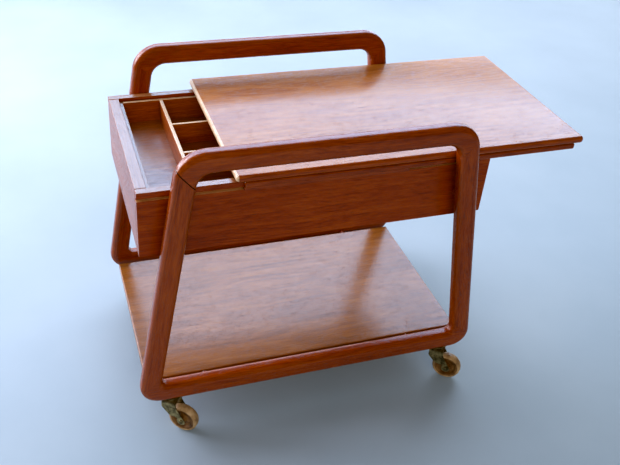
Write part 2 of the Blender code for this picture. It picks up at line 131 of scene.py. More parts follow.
def teak(name, dark, middle, light, worn, figure=0.0, gloss=0.4, shine=0.5):
    """Teak, planed and oiled or lacquered: soft brown bands, fine fibre lines, dark open pores drawn out
    along the grain and paler, rubbed edges. Colours are dark band, body, light band, edge."""
    mat, tree, shader = new_finish(name)
    grain = add(tree, "Attribute", attribute_name="grain").outputs["Vector"]
    wear = add(tree, "Attribute", attribute_name="wear").outputs["Fac"]
    # the fibres wander slowly from straight, in waves a quarter of a metre long
    slow = add(tree, "VectorMath", {0: grain, 1: (4.0, 14.0, 14.0)}, operation="MULTIPLY").outputs[0]
    wander = add(tree, "TexNoise", {"Vector": slow, "Scale": 1.0, "Detail": 2.0}).outputs["Color"]
    centred = add(tree, "VectorMath", {0: wander, 1: (0.5, 0.5, 0.5)}, operation="SUBTRACT").outputs[0]
    sway = (0.0, WANDER, WANDER)
    sideways = add(tree, "VectorMath", {0: centred, 1: sway}, operation="MULTIPLY").outputs[0]
    bent = add(tree, "VectorMath", {0: grain, 1: sideways}).outputs[0]
    bands = streaks(tree, bent, COLOUR_BAND)
    fibres = streaks(tree, bent, FIBRE, 4.0, 0.7)
    board = streaks(tree, grain, BOARD_TONE, 2.0)
    parts = [(bands, 0.28), (fibres, 0.60), (board, 0.20)]
    if figure:
        # flat-sawn veneer: the growth rings run out in long nested tongues
        tongues = streaks(tree, bent, RING_TONGUE, 1.0)
        turns = add(tree, "Math", {0: tongues, 1: RING_TURNS}, operation="MULTIPLY").outputs[0]
        rings = add(tree, "Math", {0: turns, 1: 1.0}, operation="PINGPONG").outputs[0]
        parts.append((rings, figure))
    dashes = streaks(tree, bent, PORE, 2.0)
    pores = add(tree, "MapRange", {0: dashes, 1: 0.57, 2: 0.67}).outputs[0]
    body = add(tree, "ValToRGB", {"Fac": mixed_tones(tree, parts)},
               stops=[(0.36, dark), (0.50, middle), (0.66, light)]).outputs["Color"]
    touched = add(tree, "Math", {0: wear, 1: fibres}, operation="MULTIPLY").outputs[0]
    rubbed = add(tree, "MapRange", {0: touched, 1: 0.2, 2: 0.7, 4: RUBBED}).outputs[0]
    edged = add(tree, "Mix", {0: rubbed, 6: body, 7: (*linear(worn), 1.0)}, data_type="RGBA").outputs[2]
    pitted = add(tree, "MapRange", {0: pores, 3: 1.0, 4: 0.60}).outputs[0]
    colour = add(tree, "Mix", {0: 1.0, 6: edged, 7: pitted}, data_type="RGBA", blend_type="MULTIPLY")
    tree.links.new(colour.outputs[2], shader.inputs["Base Color"])
    # the pores hold no oil or lacquer and stay matt
    sheen = add(tree, "MapRange", {0: fibres, 1: 0.3, 2: 0.7, 3: gloss + 0.05, 4: gloss - 0.03}).outputs[0]
    matt = add(tree, "Math", {0: pores, 1: 0.22, 2: sheen}, operation="MULTIPLY_ADD").outputs[0]
    tree.links.new(matt, shader.inputs["Roughness"])
    relief = add(tree, "Math", {0: pores, 1: -1.2, 2: fibres}, operation="MULTIPLY_ADD").outputs[0]
    bump = add(tree, "Bump", {"Height": relief, "Strength": 0.6, "Distance": 0.07 * MM}).outputs["Normal"]
    tree.links.new(bump, shader.inputs["Normal"])
    shader.inputs["Specular IOR Level"].default_value = shine
    return mat


# Solid teak, shaped and oiled by hand: deep red-brown, low sheen, a soft gleam on the round edges.
OILED_TEAK = teak("oiled_solid_teak", "#702705", "#94400a", "#ae5813", "#b06022", gloss=0.20, shine=0.5)

boards_laid = 0


def lay_grain(mesh, along=(1, 0, 0), across=(0, 1, 0)):
    """Stores where each vertex lies in its piece of timber; no two pieces come from the same place."""
    global boards_laid
    boards_laid += 1
    along, across = Vector(along).normalized(), Vector(across).normalized()
    third = along.cross(across)
    start = Vector((0.91, 0.57, 0.73)) * boards_laid
    store = mesh.attributes.new("grain", "FLOAT_VECTOR", "POINT")
    for vert, slot in zip(mesh.vertices, store.data):
        slot.vector = Vector((vert.co.dot(along), vert.co.dot(across), vert.co.dot(third))) + start


def finish_piece(name, mesh, finishes, body, node):
    """Makes the piece, gives it its finish and lets it stand for its solid on that body."""
    for finish in finishes:
        mesh.materials.append(finish)
    mesh.shade_smooth()
    mesh.set_sharp_from_angle(angle=radians(40))
    piece = bpy.data.objects.new(name, mesh)
    bpy.context.scene.collection.objects.link(piece)
    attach(piece, body)
    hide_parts(node)
    return piece


def section_ring():
    """The loop's rounded section: (share of the depth from the inner edge, offset across, wear). The
    middle of each rounding is worn most."""
    reach, steps = FRAME_ROUND / FRAME_DEPTH, 7
    ring = []
    for quarter in range(4):
        t_side, w_side = (1, 1, 0, 0)[quarter], (-1, 1, 1, -1)[quarter]
        for k in range(steps + 1):
            angle = (quarter - 1) * pi / 2 + k / steps * pi / 2
            t = (1 - reach if t_side else reach) + cos(angle) * reach
            w = w_side * (FRAME_THICK / 2 - FRAME_ROUND) + sin(angle) * FRAME_ROUND
            ring.append((t, w, sin(k / steps * pi) ** 0.7))
    return ring


class Bend:
    """One corner of the loop: where lines parallel to its mitre meet the inner and outer edges."""

    def __init__(self, corner, arriving, leaving, radii):
        self.corner = corner
        self.along = (arriving + leaving).normalized()
        self.out = Vector((self.along.y, -self.along.x))
        self.half_turn = arriving.angle(leaving) / 2
        self.radii = radii

    def edge(self, lateral, outer):
        """The point of the inner or outer edge this far along the corner's chord direction."""
        radius = self.radii[0 if outer else 1]
        tip = (FRAME_DEPTH if outer else -FRAME_DEPTH) / 2 / cos(self.half_turn)
        if abs(lateral) < radius * sin(self.half_turn):
            height = tip - radius / cos(self.half_turn) + sqrt(radius ** 2 - lateral ** 2)
        else:
            height = tip - abs(lateral) * tan(self.half_turn)
        return self.corner + self.along * lateral + self.out * height

    def stations(self, low, high):
        """Inner and outer points from one lateral place to another, closest together round the arcs."""
        places = {low, high}
        for radius in self.radii:
            places |= {radius * sin(self.half_turn * k / 10) for k in range(-10, 11)}
        kept = sorted(place for place in places if low <= place <= high)
        return [(self.edge(place, False), self.edge(place, True)) for place in kept]


def frame_bends(low_z, high_z):
    """The four corners of the centre line, taken counter-clockwise as seen from the front."""
    corners = [Vector((-LEG_LOW_X, low_z)), Vector((LEG_LOW_X, low_z)),
               Vector((LEG_HIGH_X, high_z)), Vector((-LEG_HIGH_X, high_z))]
    bends = []
    for i, corner in enumerate(corners):
        arriving = (corner - corners[i - 1]).normalized()
        leaving = (corners[(i + 1) % 4] - corner).normalized()
        bends.append(Bend(corner, arriving, leaving, LOW_BEND if i < 2 else TOP_BEND))
    return bends


def member_mesh(name, stations, place, eases):
    """Lofts the rounded section through the stations and closes both ends with an eased joint face."""
    bm = bmesh.new()
    wear = bm.verts.layers.float.new("wear")
    ring = section_ring()

    def lay(inner, outer, shrink=0.0, shift=Vector((0, 0))):
        row = []
        for t, w, rub in ring:
            t_in = 0.5 + (t - 0.5) * (1 - shrink / (outer - inner).length * 2)
            w_in = w * (1 - shrink / (FRAME_THICK / 2))
            spot = inner.lerp(outer, t_in) + shift
            vert = bm.verts.new(place(spot, w_in))
            vert[wear] = rub
            row.append(vert)
        return row

    def inward(index, towards, amount):
        here, there = sum(stations[index], Vector((0, 0))) / 2, sum(stations[towards], Vector((0, 0))) / 2
        return (there - here).normalized() * amount

    rows = [lay(*stations[0], shrink=eases[0]), lay(*stations[0], shift=inward(0, 1, eases[0]))]
    rows += [lay(*pair) for pair in stations[1:-1]]
    rows += [lay(*stations[-1], shift=inward(-1, -2, eases[1])), lay(*stations[-1], shrink=eases[1])]
    for a, b in zip(rows, rows[1:]):
        for k in range(len(ring)):
            n = (k + 1) % len(ring)
            bm.faces.new((a[k], a[n], b[n], b[k]))
    bm.faces.new(list(reversed(rows[0])))
    bm.faces.new(rows[-1])
    bmesh.ops.recalc_face_normals(bm, faces=bm.faces)
    # where the joint is open, its eased rim is the dark glue line
    for index, ease in ((0, eases[0]), (len(rows) - 2, eases[1])):
        if ease > JOINT_EASE:
            rim = set(rows[index] + rows[index + 1])
            for face in bm.faces:
                if len(face.verts) == 4 and all(vert in rim for vert in face.verts):
                    face.material_index = 1
    mesh = bpy.data.meshes.new(name)
    bm.to_mesh(mesh)
    bm.free()
    return mesh


# Old glue and wax that has gone black in an open joint: dull and dark.
DARK_GLUE, glue_tree, glue_shader = new_finish("blackened_glue_line")
glue_spots = add(glue_tree, "TexNoise", {"Scale": 900.0, "Detail": 2.0}).outputs["Fac"]
glue_colour = add(glue_tree, "ValToRGB", {"Fac": glue_spots}, stops=[(0.3, "#140705"), (0.7, "#33140a")])
glue_tree.links.new(glue_colour.outputs["Color"], glue_shader.inputs["Base Color"])
glue_dullness = add(glue_tree, "MapRange", {0: glue_spots, 1: 0.3, 2: 0.7, 3: 0.6, 4: 0.9})
glue_tree.links.new(glue_dullness.outputs[0], glue_shader.inputs["Roughness"])

for side in ("front", "rear"):
    bottom_box, top_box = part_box(f"{side}_frame_bottom_rail"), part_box(f"{side}_frame_top_rail")
    middle_x = (bottom_box[0].x + bottom_box[1].x) / 2
    middle_y = (bottom_box[0].y + bottom_box[1].y) / 2
    rail_low_z, rail_high_z = bottom_box[0].z + FRAME_DEPTH / 2, top_box[1].z - FRAME_DEPTH / 2
    low_left, low_right, high_right, high_left = frame_bends(rail_low_z, rail_high_z)

    def in_frame(spot, across):
        return Vector((middle_x + spot.x, middle_y + across, spot.y))

    top_cut, low_cut = JOINT_DROP * cos(high_left.half_turn), JOINT_DROP * cos(low_left.half_turn)
    reach_top, reach_low = TOP_BEND[0] * 0.75, LOW_BEND[0] * 0.9      # just past the arcs
    worn_joint = OPEN_JOINT_EASE if side == "front" else JOINT_EASE
    members = {
        "bottom_rail": (low_left.stations(-low_cut, reach_low) + low_right.stations(-reach_low, low_cut),
                        (JOINT_EASE, JOINT_EASE)),
        "right_leg": (low_right.stations(low_cut, reach_low) + high_right.stations(-reach_top, -top_cut),
                      (JOINT_EASE, JOINT_EASE)),
        "top_rail": (high_right.stations(-top_cut, reach_top) + high_left.stations(-reach_top, top_cut),
                     (JOINT_EASE, worn_joint)),
        "left_leg": (high_left.stations(top_cut, reach_top) + low_left.stations(-reach_low, -low_cut),
                     (worn_joint, JOINT_EASE)),
    }
    for part, (stations, eases) in members.items():
        node = f"{side}_frame_{part}"
        mesh = member_mesh(node, stations, in_frame, eases)
        run = sum(stations[-1], Vector((0, 0))) - sum(stations[0], Vector((0, 0)))
        lay_grain(mesh, (run.x, 0, run.y), (0, 1, 0))
        finish_piece(f"{side}_{part}", mesh, [OILED_TEAK, DARK_GLUE], "cart", node)

# ------------------------------------------------------------------ box
# The box is a plain open case of solid teak boards, glued at the corners. Each long side has a
# groove run near its top edge, open at the left end, for the runners of the sliding top.

BOX_EASE = 0.9 * MM
GROOVE_LOW_Z, GROOVE_HIGH_Z = 475.5 * MM, 481 * MM
GROOVE_DEPTH = 7 * MM
GROOVE_STOP = 20.5 * MM                               # the groove ends this far from the right end
CUTTER_SPARE = 5 * MM                                 # the cutter starts this far outside the board

# The same oiled teak as flat boards: less shine than the rounded frames and paler on the rubbed edges.
BOARD_TEAK = teak("oiled_teak_board", "#762805", "#9a410a", "#b25a14", "#b87038", gloss=0.22, shine=0.32)

# The case's flat top edges are painted paler than the boards, a painted highlight where they catch the light,
# with a smoother shine.
TOP_EDGE_PAINTED_HIGHLIGHT = teak("teak_top_edge_painted_highlight", "#8c5630", "#a06c44", "#b4845c", "#d0aa88", gloss=0.18, shine=0.75)


def paint_top_edge_highlight(mesh, top_z, slot_index):
    """The flat top of a board takes the finish in that slot, the paler painted highlight of a top edge."""
    for face in mesh.polygons:
        if face.normal.z > 0.9 and face.center.z > top_z - 0.3 * MM:
            face.material_index = slot_index


# The groove's upward ledge is painted light tan: a painted highlight where it faces the light, which the
# groove's lip would otherwise shade.
LEDGE_PAINTED_HIGHLIGHT = teak("teak_ledge_painted_highlight", "#c08448", "#dca468", "#ecc08c", "#f0cc9c", gloss=0.4)


def eased_board(name, low, high, ease, band=3 * MM):
    """A board between two corners with rounded edges and a row of points just inside every edge."""
    turns = [tan(radians(a)) for a in (45, 30, 15, 0)]

    def cuts(a, b):
        near = [ease * (1 - turn) for turn in turns]
        inner = min(ease + band, (b - a) * 0.4)
        places = near + [inner] if inner > ease * 1.05 else near
        middle = [(b - a) / 2] if b - a > 4 * band else []
        return [a + p for p in places] + [a + p for p in middle] + [b - p for p in reversed(places)]

    lists = [cuts(low[i], high[i]) for i in range(3)]
    bm = bmesh.new()
    for axis in range(3):
        u, v = (axis + 1) % 3, (axis + 2) % 3
        for depth, flip in ((low[axis], True), (high[axis], False)):
            grid = {}
            for i, a in enumerate(lists[u]):
                for j, b in enumerate(lists[v]):
                    spot = [0.0, 0.0, 0.0]
                    spot[axis], spot[u], spot[v] = depth, a, b
                    grid[i, j] = bm.verts.new(spot)
            for i in range(len(lists[u]) - 1):
                for j in range(len(lists[v]) - 1):
                    corners = [grid[i, j], grid[i + 1, j], grid[i + 1, j + 1], grid[i, j + 1]]
                    bm.faces.new(list(reversed(corners)) if flip else corners)
    bmesh.ops.remove_doubles(bm, verts=bm.verts, dist=0.005 * MM)
    wear = bm.verts.layers.float.new("wear")
    for vert in bm.verts:
        kept = Vector([min(max(vert.co[i], low[i] + ease), high[i] - ease) for i in range(3)])
        out = vert.co - kept
        sides_near = sum(abs(step) > 1e-7 for step in out)
        vert[wear] = 1.0 if sides_near > 1 else 0.3      # edges and corners are rubbed most
        vert.co = kept + out.normalized() * ease
    mesh = bpy.data.meshes.new(name)
    bm.to_mesh(mesh)
    bm.free()
    return mesh


def board_piece(node, finish, body, ease, along=(1, 0, 0), across=(0, 1, 0), grow=0.0):
    """A board that fills its solid's own box, with its grain laid along it."""
    low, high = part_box(node)
    spare = Vector((grow, grow, grow))
    mesh = eased_board(node, low - spare, high + spare, ease)
    lay_grain(mesh, along, across)
    return finish_piece(node + "_board", mesh, [finish], body, node)


def take_out(mesh, low, high):
    """Cuts a square-cornered channel from a mesh and returns the new mesh."""
    holder = bpy.data.objects.new("holder", mesh)
    cutter = bpy.data.objects.new("channel", eased_board("channel", low, high, 0.3 * MM))
    for thing in (holder, cutter):
        bpy.context.scene.collection.objects.link(thing)
    tool = holder.modifiers.new("channel", "BOOLEAN")
    tool.solver, tool.operation, tool.object = "EXACT", "DIFFERENCE", cutter
    graph = bpy.context.evaluated_depsgraph_get()
    result = bpy.data.meshes.new_from_object(holder.evaluated_get(graph))
    for thing in (holder, cutter):
        bpy.data.objects.remove(thing, do_unlink=True)
    return result


for side, sign in (("front", -1), ("rear", 1)):
    node = f"{side}_box_side"
    low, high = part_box(node)
    outer_y = low.y if sign < 0 else high.y
    inner_y = outer_y - sign * GROOVE_DEPTH
    outside_y = outer_y + sign * CUTTER_SPARE
    channel_low = Vector((low.x - CUTTER_SPARE, min(inner_y, outside_y), GROOVE_LOW_Z))
    channel_high = Vector((high.x - GROOVE_STOP, max(inner_y, outside_y), GROOVE_HIGH_Z))
    mesh = take_out(eased_board(node, low, high, BOX_EASE), channel_low, channel_high)
    lay_grain(mesh, (1, 0, 0), (0, 0, 1))
    finish_piece(f"{side}_grooved_side", mesh, [BOARD_TEAK, LEDGE_PAINTED_HIGHLIGHT, TOP_EDGE_PAINTED_HIGHLIGHT], "cart", node)
    # the side's flat top edge takes the paler painted highlight
    paint_top_edge_highlight(mesh, high.z, 2)
    # the groove's upward ledge takes the light tan painted highlight
    for face in mesh.polygons:
        if face.normal.z > 0.3 and GROOVE_LOW_Z - 0.5 * MM < face.center.z < GROOVE_LOW_Z + 0.5 * MM:
            face.material_index = 1

for node in ("left_box_end", "right_box_end"):
    end = board_piece(node, BOARD_TEAK, "cart", BOX_EASE, (0, 1, 0), (0, 0, 1), grow=0.1 * MM)
    # the end's flat top edge takes the paler painted highlight
    end.data.materials.append(TOP_EDGE_PAINTED_HIGHLIGHT)
    paint_top_edge_highlight(end.data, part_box(node)[1].z, 1)

# Inside, the wood has had one thin coat only: lighter, drier and more orange than the outside.
INNER_TEAK = teak("thin_oiled_inner_teak", "#8a3f0e", "#ac5a18", "#c67a34", "#d9a06c", gloss=0.42)

board_piece("box_bottom", INNER_TEAK, "cart", 0.5 * MM)
for side in ("front", "rear"):
    board_piece(f"{side}_tray_ledge", INNER_TEAK, "cart", 0.5 * MM)

# ------------------------------------------------------------------ tray
# The lift-out tray is made of 6 mm teak strips round a thin base, halved together at the dividers.
# The strips' top edges are left bare and have paled.

TRAY_EASE = 0.7 * MM

# Bare teak edge, sanded and paled by light: light tan with fine brown lines.
BARE_EDGE = teak("bare_sanded_teak_edge", "#cfa47a", "#e6c49c", "#f0dabc", "#f2e2ca", gloss=0.34)


def pale_top_edge(mesh, top_z):
    """The upward edge of a thin strip, with its rounding, takes the second finish."""
    for face in mesh.polygons:
        if face.center.z > top_z - 0.45 * MM:
            face.material_index = 1


for part in ("left_wall", "right_wall", "front_wall", "rear_wall", "long_divider",
             "front_cross_divider", "rear_cross_divider"):
    node = "tray_" + part
    low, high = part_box(node)
    mesh = eased_board(node, low, high, TRAY_EASE, band=1.2 * MM)
    lengthwise = high.x - low.x > high.y - low.y
    lay_grain(mesh, (1, 0, 0) if lengthwise else (0, 1, 0), (0, 0, 1))
    finish_piece(f"{node}_strip", mesh, [INNER_TEAK, BARE_EDGE], "tray", node)
    if part == "left_wall":
        # the left wall's flat top edge takes the paler painted highlight
        mesh.materials.append(TOP_EDGE_PAINTED_HIGHLIGHT)
        paint_top_edge_highlight(mesh, high.z, 2)
    else:
        pale_top_edge(mesh, high.z)

# The base is a veneered ply sheet, lacquered: a pale brown face with a soft, strong sheen.
TRAY_FLOOR = teak("veneered_tray_floor", "#8d4a1a", "#a9642c", "#c08046", "#c28a58", figure=0.10, gloss=0.27,
                  shine=0.9)
board_piece("tray_base", TRAY_FLOOR, "tray", 0.4 * MM)

# ------------------------------------------------------------------ spacers
# Short turned teak dowels hold the box and the shelf a finger's width off the frames.


def lathe(name, profile, steps, place):
    """Turns a (radius, height) profile about the local Z axis."""
    bm = bmesh.new()
    rows = []
    for radius, z in profile:
        if radius < 1e-7:
            rows.append([bm.verts.new(place @ Vector((0, 0, z)))])
            continue
        angles = [2 * pi * k / steps for k in range(steps)]
        rows.append([bm.verts.new(place @ Vector((radius * cos(a), radius * sin(a), z))) for a in angles])
    closed = rows + ([rows[0]] if len(rows[0]) > 1 else [])
    for a, b in zip(closed, closed[1:]):
        for k in range(steps):
            n = (k + 1) % steps
            corners = [a[k % len(a)], a[n % len(a)], b[n % len(b)], b[k % len(b)]]
            unique = list(dict.fromkeys(corners))
            if len(unique) > 2:
                bm.faces.new(unique)
    bmesh.ops.recalc_face_normals(bm, faces=bm.faces)
    mesh = bpy.data.meshes.new(name)
    bm.to_mesh(mesh)
    bm.free()
    return mesh


ALONG_Y = Matrix.Rotation(radians(90), 4, "X")        # lays a turned piece's axis across the cart
DOWEL_EASE = 0.8 * MM

for side in ("front", "rear"):
    for kind in ("box", "shelf"):
        for end in ("left", "right"):
            node = f"{side}_{kind}_spacer_{end}"
            low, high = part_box(node)
            radius, half = (high.z - low.z) / 2, (high.y - low.y) / 2
            profile = [(0, half), (radius - DOWEL_EASE, half), (radius, half - DOWEL_EASE),
                       (radius, DOWEL_EASE - half), (radius - DOWEL_EASE, -half), (0, -half)]
            place = Matrix.Translation((low + high) / 2) @ ALONG_Y
            mesh = lathe(node, profile, 32, place)
            lay_grain(mesh, (0, 1, 0), (1, 0, 0))
            finish_piece(node + "_dowel", mesh, [OILED_TEAK], "cart", node)

# ------------------------------------------------------------------ shelf
# The lower shelf is a ply panel veneered in flat-sawn teak, edged all round with a thin solid lipping of
# the same teak, and lacquered to a satin gloss.

SHELF_EASE = 1.6 * MM
LIPPING = 4 * MM

# Flat-sawn teak veneer under satin lacquer: long pale tongues of figure, dark pores and a wide soft sheen.
# Its colour is painted darker and browner than the top's, as painted shade from the top and the box above it.
# The lipping takes the same finish.
SHELF_VENEER_PAINTED_SHADE = teak("lacquered_teak_veneer_painted_shade", "#7c4c1a", "#955e28", "#ac7438", "#c98a58", figure=0.10,
                    gloss=0.20)


def lipped_panel(node, name, ease, body, veneer, rim, bare_end=0.0):
    """A panel whose broad faces are veneer and whose rim is solid lipping, its left end bare if asked."""
    low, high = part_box(node)
    mesh = eased_board(node, low, high, ease, band=LIPPING - ease)
    lay_grain(mesh)
    for face in mesh.polygons:
        spot = face.center
        inside = min(spot.x - low.x, high.x - spot.x, spot.y - low.y, high.y - spot.y)
        face.material_index = 0 if inside > LIPPING * 0.9 else 1
        if spot.x < low.x + bare_end and spot.z > low.z + bare_end:
            face.material_index = 2
    return finish_piece(name, mesh, [veneer, rim, BARE_EDGE], body, node)


# the shelf's veneer is the darker copy, painted shade
lipped_panel("shelf_panel", "veneered_shelf", SHELF_EASE, "cart", SHELF_VENEER_PAINTED_SHADE, SHELF_VENEER_PAINTED_SHADE)

# ------------------------------------------------------------------ sliding top
# The top is a veneered panel with rounded lipping. Solid battens under its long edges hang over
# the box sides, and a strip under each batten has a tongue that runs in the groove.

TOP_EASE = 5.4 * MM
TONGUE_HEIGHT, LEG_THICK = 4.3 * MM, 4.5 * MM         # of the runner's L-shaped section

# The top's veneer has the same lacquer; its colour is lighter and redder than the shelf's, as painted light
# on the lit top.
VENEER = teak("lacquered_teak_veneer", "#a25c22", "#bb7634", "#cd8c48", "#d8a068", figure=0.11, gloss=0.20)

# The lipping and the runners are solid teak, straight in the grain and darker than the veneer.
RIM_TEAK = teak("lacquered_teak_lipping", "#742a07", "#98420c", "#b25c1c", "#bc7034", gloss=0.24)

# the top's veneer is the lighter copy, painted light
lipped_panel("top_panel", "veneered_sliding_top", TOP_EASE, "sliding_top", VENEER, RIM_TEAK, bare_end=LIPPING)
for side in ("front", "rear"):
    board_piece(f"{side}_top_batten", OILED_TEAK, "sliding_top", 2.4 * MM)
board_piece("top_stop_block", INNER_TEAK, "sliding_top", 1.2 * MM)


def runner_mesh(name, low, high, sign):
    """The L-shaped strip: an upright leg under the batten and a tongue turned in to the groove."""
    tongue_high = low.z + TONGUE_HEIGHT
    outer, tip = (high.y, low.y) if sign > 0 else (low.y, high.y)
    root = outer - sign * LEG_THICK
    outline = [(outer, low.z), (outer, high.z), (root, high.z), (root, tongue_high), (tip, tongue_high),
               (tip, low.z)]
    bm = bmesh.new()
    first = [bm.verts.new((low.x, y, z)) for y, z in outline]
    last = [bm.verts.new((high.x, y, z)) for y, z in outline]
    for k in range(len(outline)):
        n = (k + 1) % len(outline)
        bm.faces.new((first[k], first[n], last[n], last[k]))
    bm.faces.new(list(reversed(first)))
    bm.faces.new(last)
    bmesh.ops.recalc_face_normals(bm, faces=bm.faces)
    bmesh.ops.bevel(bm, geom=bm.edges[:], offset=0.4 * MM, segments=2, profile=0.5, affect="EDGES",
                    clamp_overlap=True)
    mesh = bpy.data.meshes.new(name)
    bm.to_mesh(mesh)
    bm.free()
    return mesh


for side, sign in (("front", -1), ("rear", 1)):
    node = f"{side}_top_runner"
    mesh = runner_mesh(node, *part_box(node), sign)
    mesh.attributes.new("wear", "FLOAT", "POINT")
    lay_grain(mesh, (1, 0, 0), (0, 0, 1))
    finish_piece(f"{side}_tongued_runner", mesh, [RIM_TEAK], "sliding_top", node)

# ------------------------------------------------------------------ casters
# Each caster is a stem pressed into the rail, a fork pressed from brassed sheet that swivels on the
# stem's race, a rivet for an axle, and a moulded wheel with a dished hub and a softer tread.

AXLE_Z = 27.8 * MM                                    # the wheel's radius
TRAIL = 24 * MM                                       # from the swivel's axis back to the axle
SHEET = 1.9 * MM
FORK_HALF_WIDTH = 13 * MM                             # to the outside of a cheek
CROWN_HALF_LENGTH = 14 * MM
EYE_RADIUS = 8 * MM
BACK_SHOULDER_Z, FRONT_SHOULDER_Z = 52 * MM, 57 * MM  # the cheeks' edges turn in below these
BACK_LEAN, FRONT_LEAN = 0.97, 0.62                    # how far they go for each metre down

# Brass-plated steel, dulled and spotted green-brown with age: soft gleam on the bends, matt patches.
AGED_BRASS, brass_tree, brass_shader = new_finish("dulled_brass_plate")
brass_place = add(brass_tree, "TexCoord").outputs["Object"]
patches = add(brass_tree, "TexNoise", {"Vector": brass_place, "Scale": 110.0, "Detail": 4.0,
                                       "Roughness": 0.65}).outputs["Fac"]
specks = add(brass_tree, "TexNoise", {"Vector": brass_place, "Scale": 900.0, "Detail": 2.0}).outputs["Fac"]
tarnish = add(brass_tree, "Math", {0: specks, 1: 0.35, 2: patches}, operation="MULTIPLY_ADD").outputs[0]
brass_colour = add(brass_tree, "ValToRGB", {"Fac": tarnish},
                   stops=[(0.42, "#d6c08c"), (0.60, "#b8a87a"), (0.80, "#6f6448")])
brass_tree.links.new(brass_colour.outputs["Color"], brass_shader.inputs["Base Color"])
brass_dullness = add(brass_tree, "MapRange", {0: tarnish, 1: 0.45, 2: 0.85, 3: 0.34, 4: 0.62})
brass_tree.links.new(brass_dullness.outputs[0], brass_shader.inputs["Roughness"])
brass_bump = add(brass_tree, "Bump", {"Height": specks, "Strength": 0.35, "Distance": 0.05 * MM})
brass_tree.links.new(brass_bump.outputs["Normal"], brass_shader.inputs["Normal"])
brass_shader.inputs["Metallic"].default_value = 0.85


def moulded(name, deep, body, pale, gloss):
    """Old moulded plastic gone amber: cloudy colour, fine scuffs and a sheen that they break up."""
    mat, tree, shader = new_finish(name)
    place = add(tree, "TexCoord").outputs["Object"]
    cloud = add(tree, "TexNoise", {"Vector": place, "Scale": 60.0, "Detail": 3.0}).outputs["Fac"]
    scuff_size = {"Vector": place, "Scale": 700.0, "Detail": 3.0, "Roughness": 0.7}
    scuffs = add(tree, "TexNoise", scuff_size).outputs["Fac"]
    mixed = add(tree, "Math", {0: scuffs, 1: 0.4, 2: cloud}, operation="MULTIPLY_ADD").outputs[0]
    colour = add(tree, "ValToRGB", {"Fac": mixed}, stops=[(0.5, deep), (0.68, body), (0.9, pale)])
    tree.links.new(colour.outputs["Color"], shader.inputs["Base Color"])
    dullness = add(tree, "MapRange", {0: mixed, 1: 0.5, 2: 0.9, 3: gloss - 0.08, 4: gloss + 0.15})
    tree.links.new(dullness.outputs[0], shader.inputs["Roughness"])
    bump = add(tree, "Bump", {"Height": scuffs, "Strength": 0.3, "Distance": 0.06 * MM})
    tree.links.new(bump.outputs["Normal"], shader.inputs["Normal"])
    return mat


# The hub is the darker, glossier plastic; the tread has been rubbed pale and dull by the floor.
AMBER_HUB = moulded("moulded_amber_hub", "#4a3018", "#75512c", "#9c7648", 0.42)
AMBER_TREAD = moulded("moulded_amber_tread", "#8c6c48", "#b8966a", "#d8bc94", 0.5)


def cheek_edges(z):
    """Back and front edge of the fork's cheek at a height, narrowing from the shoulders to the eye."""
    back = -CROWN_HALF_LENGTH + max(0.0, BACK_SHOULDER_Z - z) * BACK_LEAN
    front = CROWN_HALF_LENGTH + max(0.0, FRONT_SHOULDER_Z - z) * FRONT_LEAN
    if z < AXLE_Z + EYE_RADIUS:
        swing = sqrt(max(0.0, EYE_RADIUS ** 2 - (z - AXLE_Z) ** 2))
        below = z < AXLE_Z
        back = max(back, TRAIL - swing if below else TRAIL - max(swing, EYE_RADIUS * 0.8))
        front = min(front, TRAIL + (swing if below else EYE_RADIUS))
    return back, front


def fork_mesh(name, place, top_z):
    """The pressed fork's middle surface: one sheet bent over the wheel, from cheek to cheek."""
    foot = AXLE_Z - EYE_RADIUS * 0.985
    shoulder = 5 * MM
    levels = []                # (across, height, height that the cheek's outline is taken at)
    steps = 26
    for k in range(steps + 1):
        share = 1 - cos(k / steps * pi / 2)
        z = foot + (top_z - shoulder - foot) * share
        levels.append((-FORK_HALF_WIDTH + SHEET / 2, z, z))
    for k in range(1, 7):
        angle = k / 6 * pi / 2
        side_y = -FORK_HALF_WIDTH + SHEET / 2 + shoulder * (1 - cos(angle))
        levels.append((side_y, top_z - shoulder + shoulder * sin(angle) - SHEET / 2 * sin(angle), top_z))
    levels += [(-y, z, flat) for y, z, flat in reversed(levels)]
    across = 12
    bm = bmesh.new()
    rows = []
    for y, z, flat in levels:
        back, front = cheek_edges(flat)
        places = [back + (front - back) * j / across for j in range(across + 1)]
        rows.append([bm.verts.new(place @ Vector((x, y, z))) for x in places])
    for a, b in zip(rows, rows[1:]):
        for j in range(across):
            bm.faces.new((a[j], a[j + 1], b[j + 1], b[j]))
    bmesh.ops.recalc_face_normals(bm, faces=bm.faces)
    mesh = bpy.data.meshes.new(name)
    bm.to_mesh(mesh)
    bm.free()
    return mesh


def turned_piece(node, name, profile, steps, place, finish, body):
    return finish_piece(name, lathe(node, profile, steps, place), [finish], body, node)


def mirrored(profile):
    """A half profile carried on through its middle plane."""
    return profile + [(radius, -z) for radius, z in reversed(profile)]


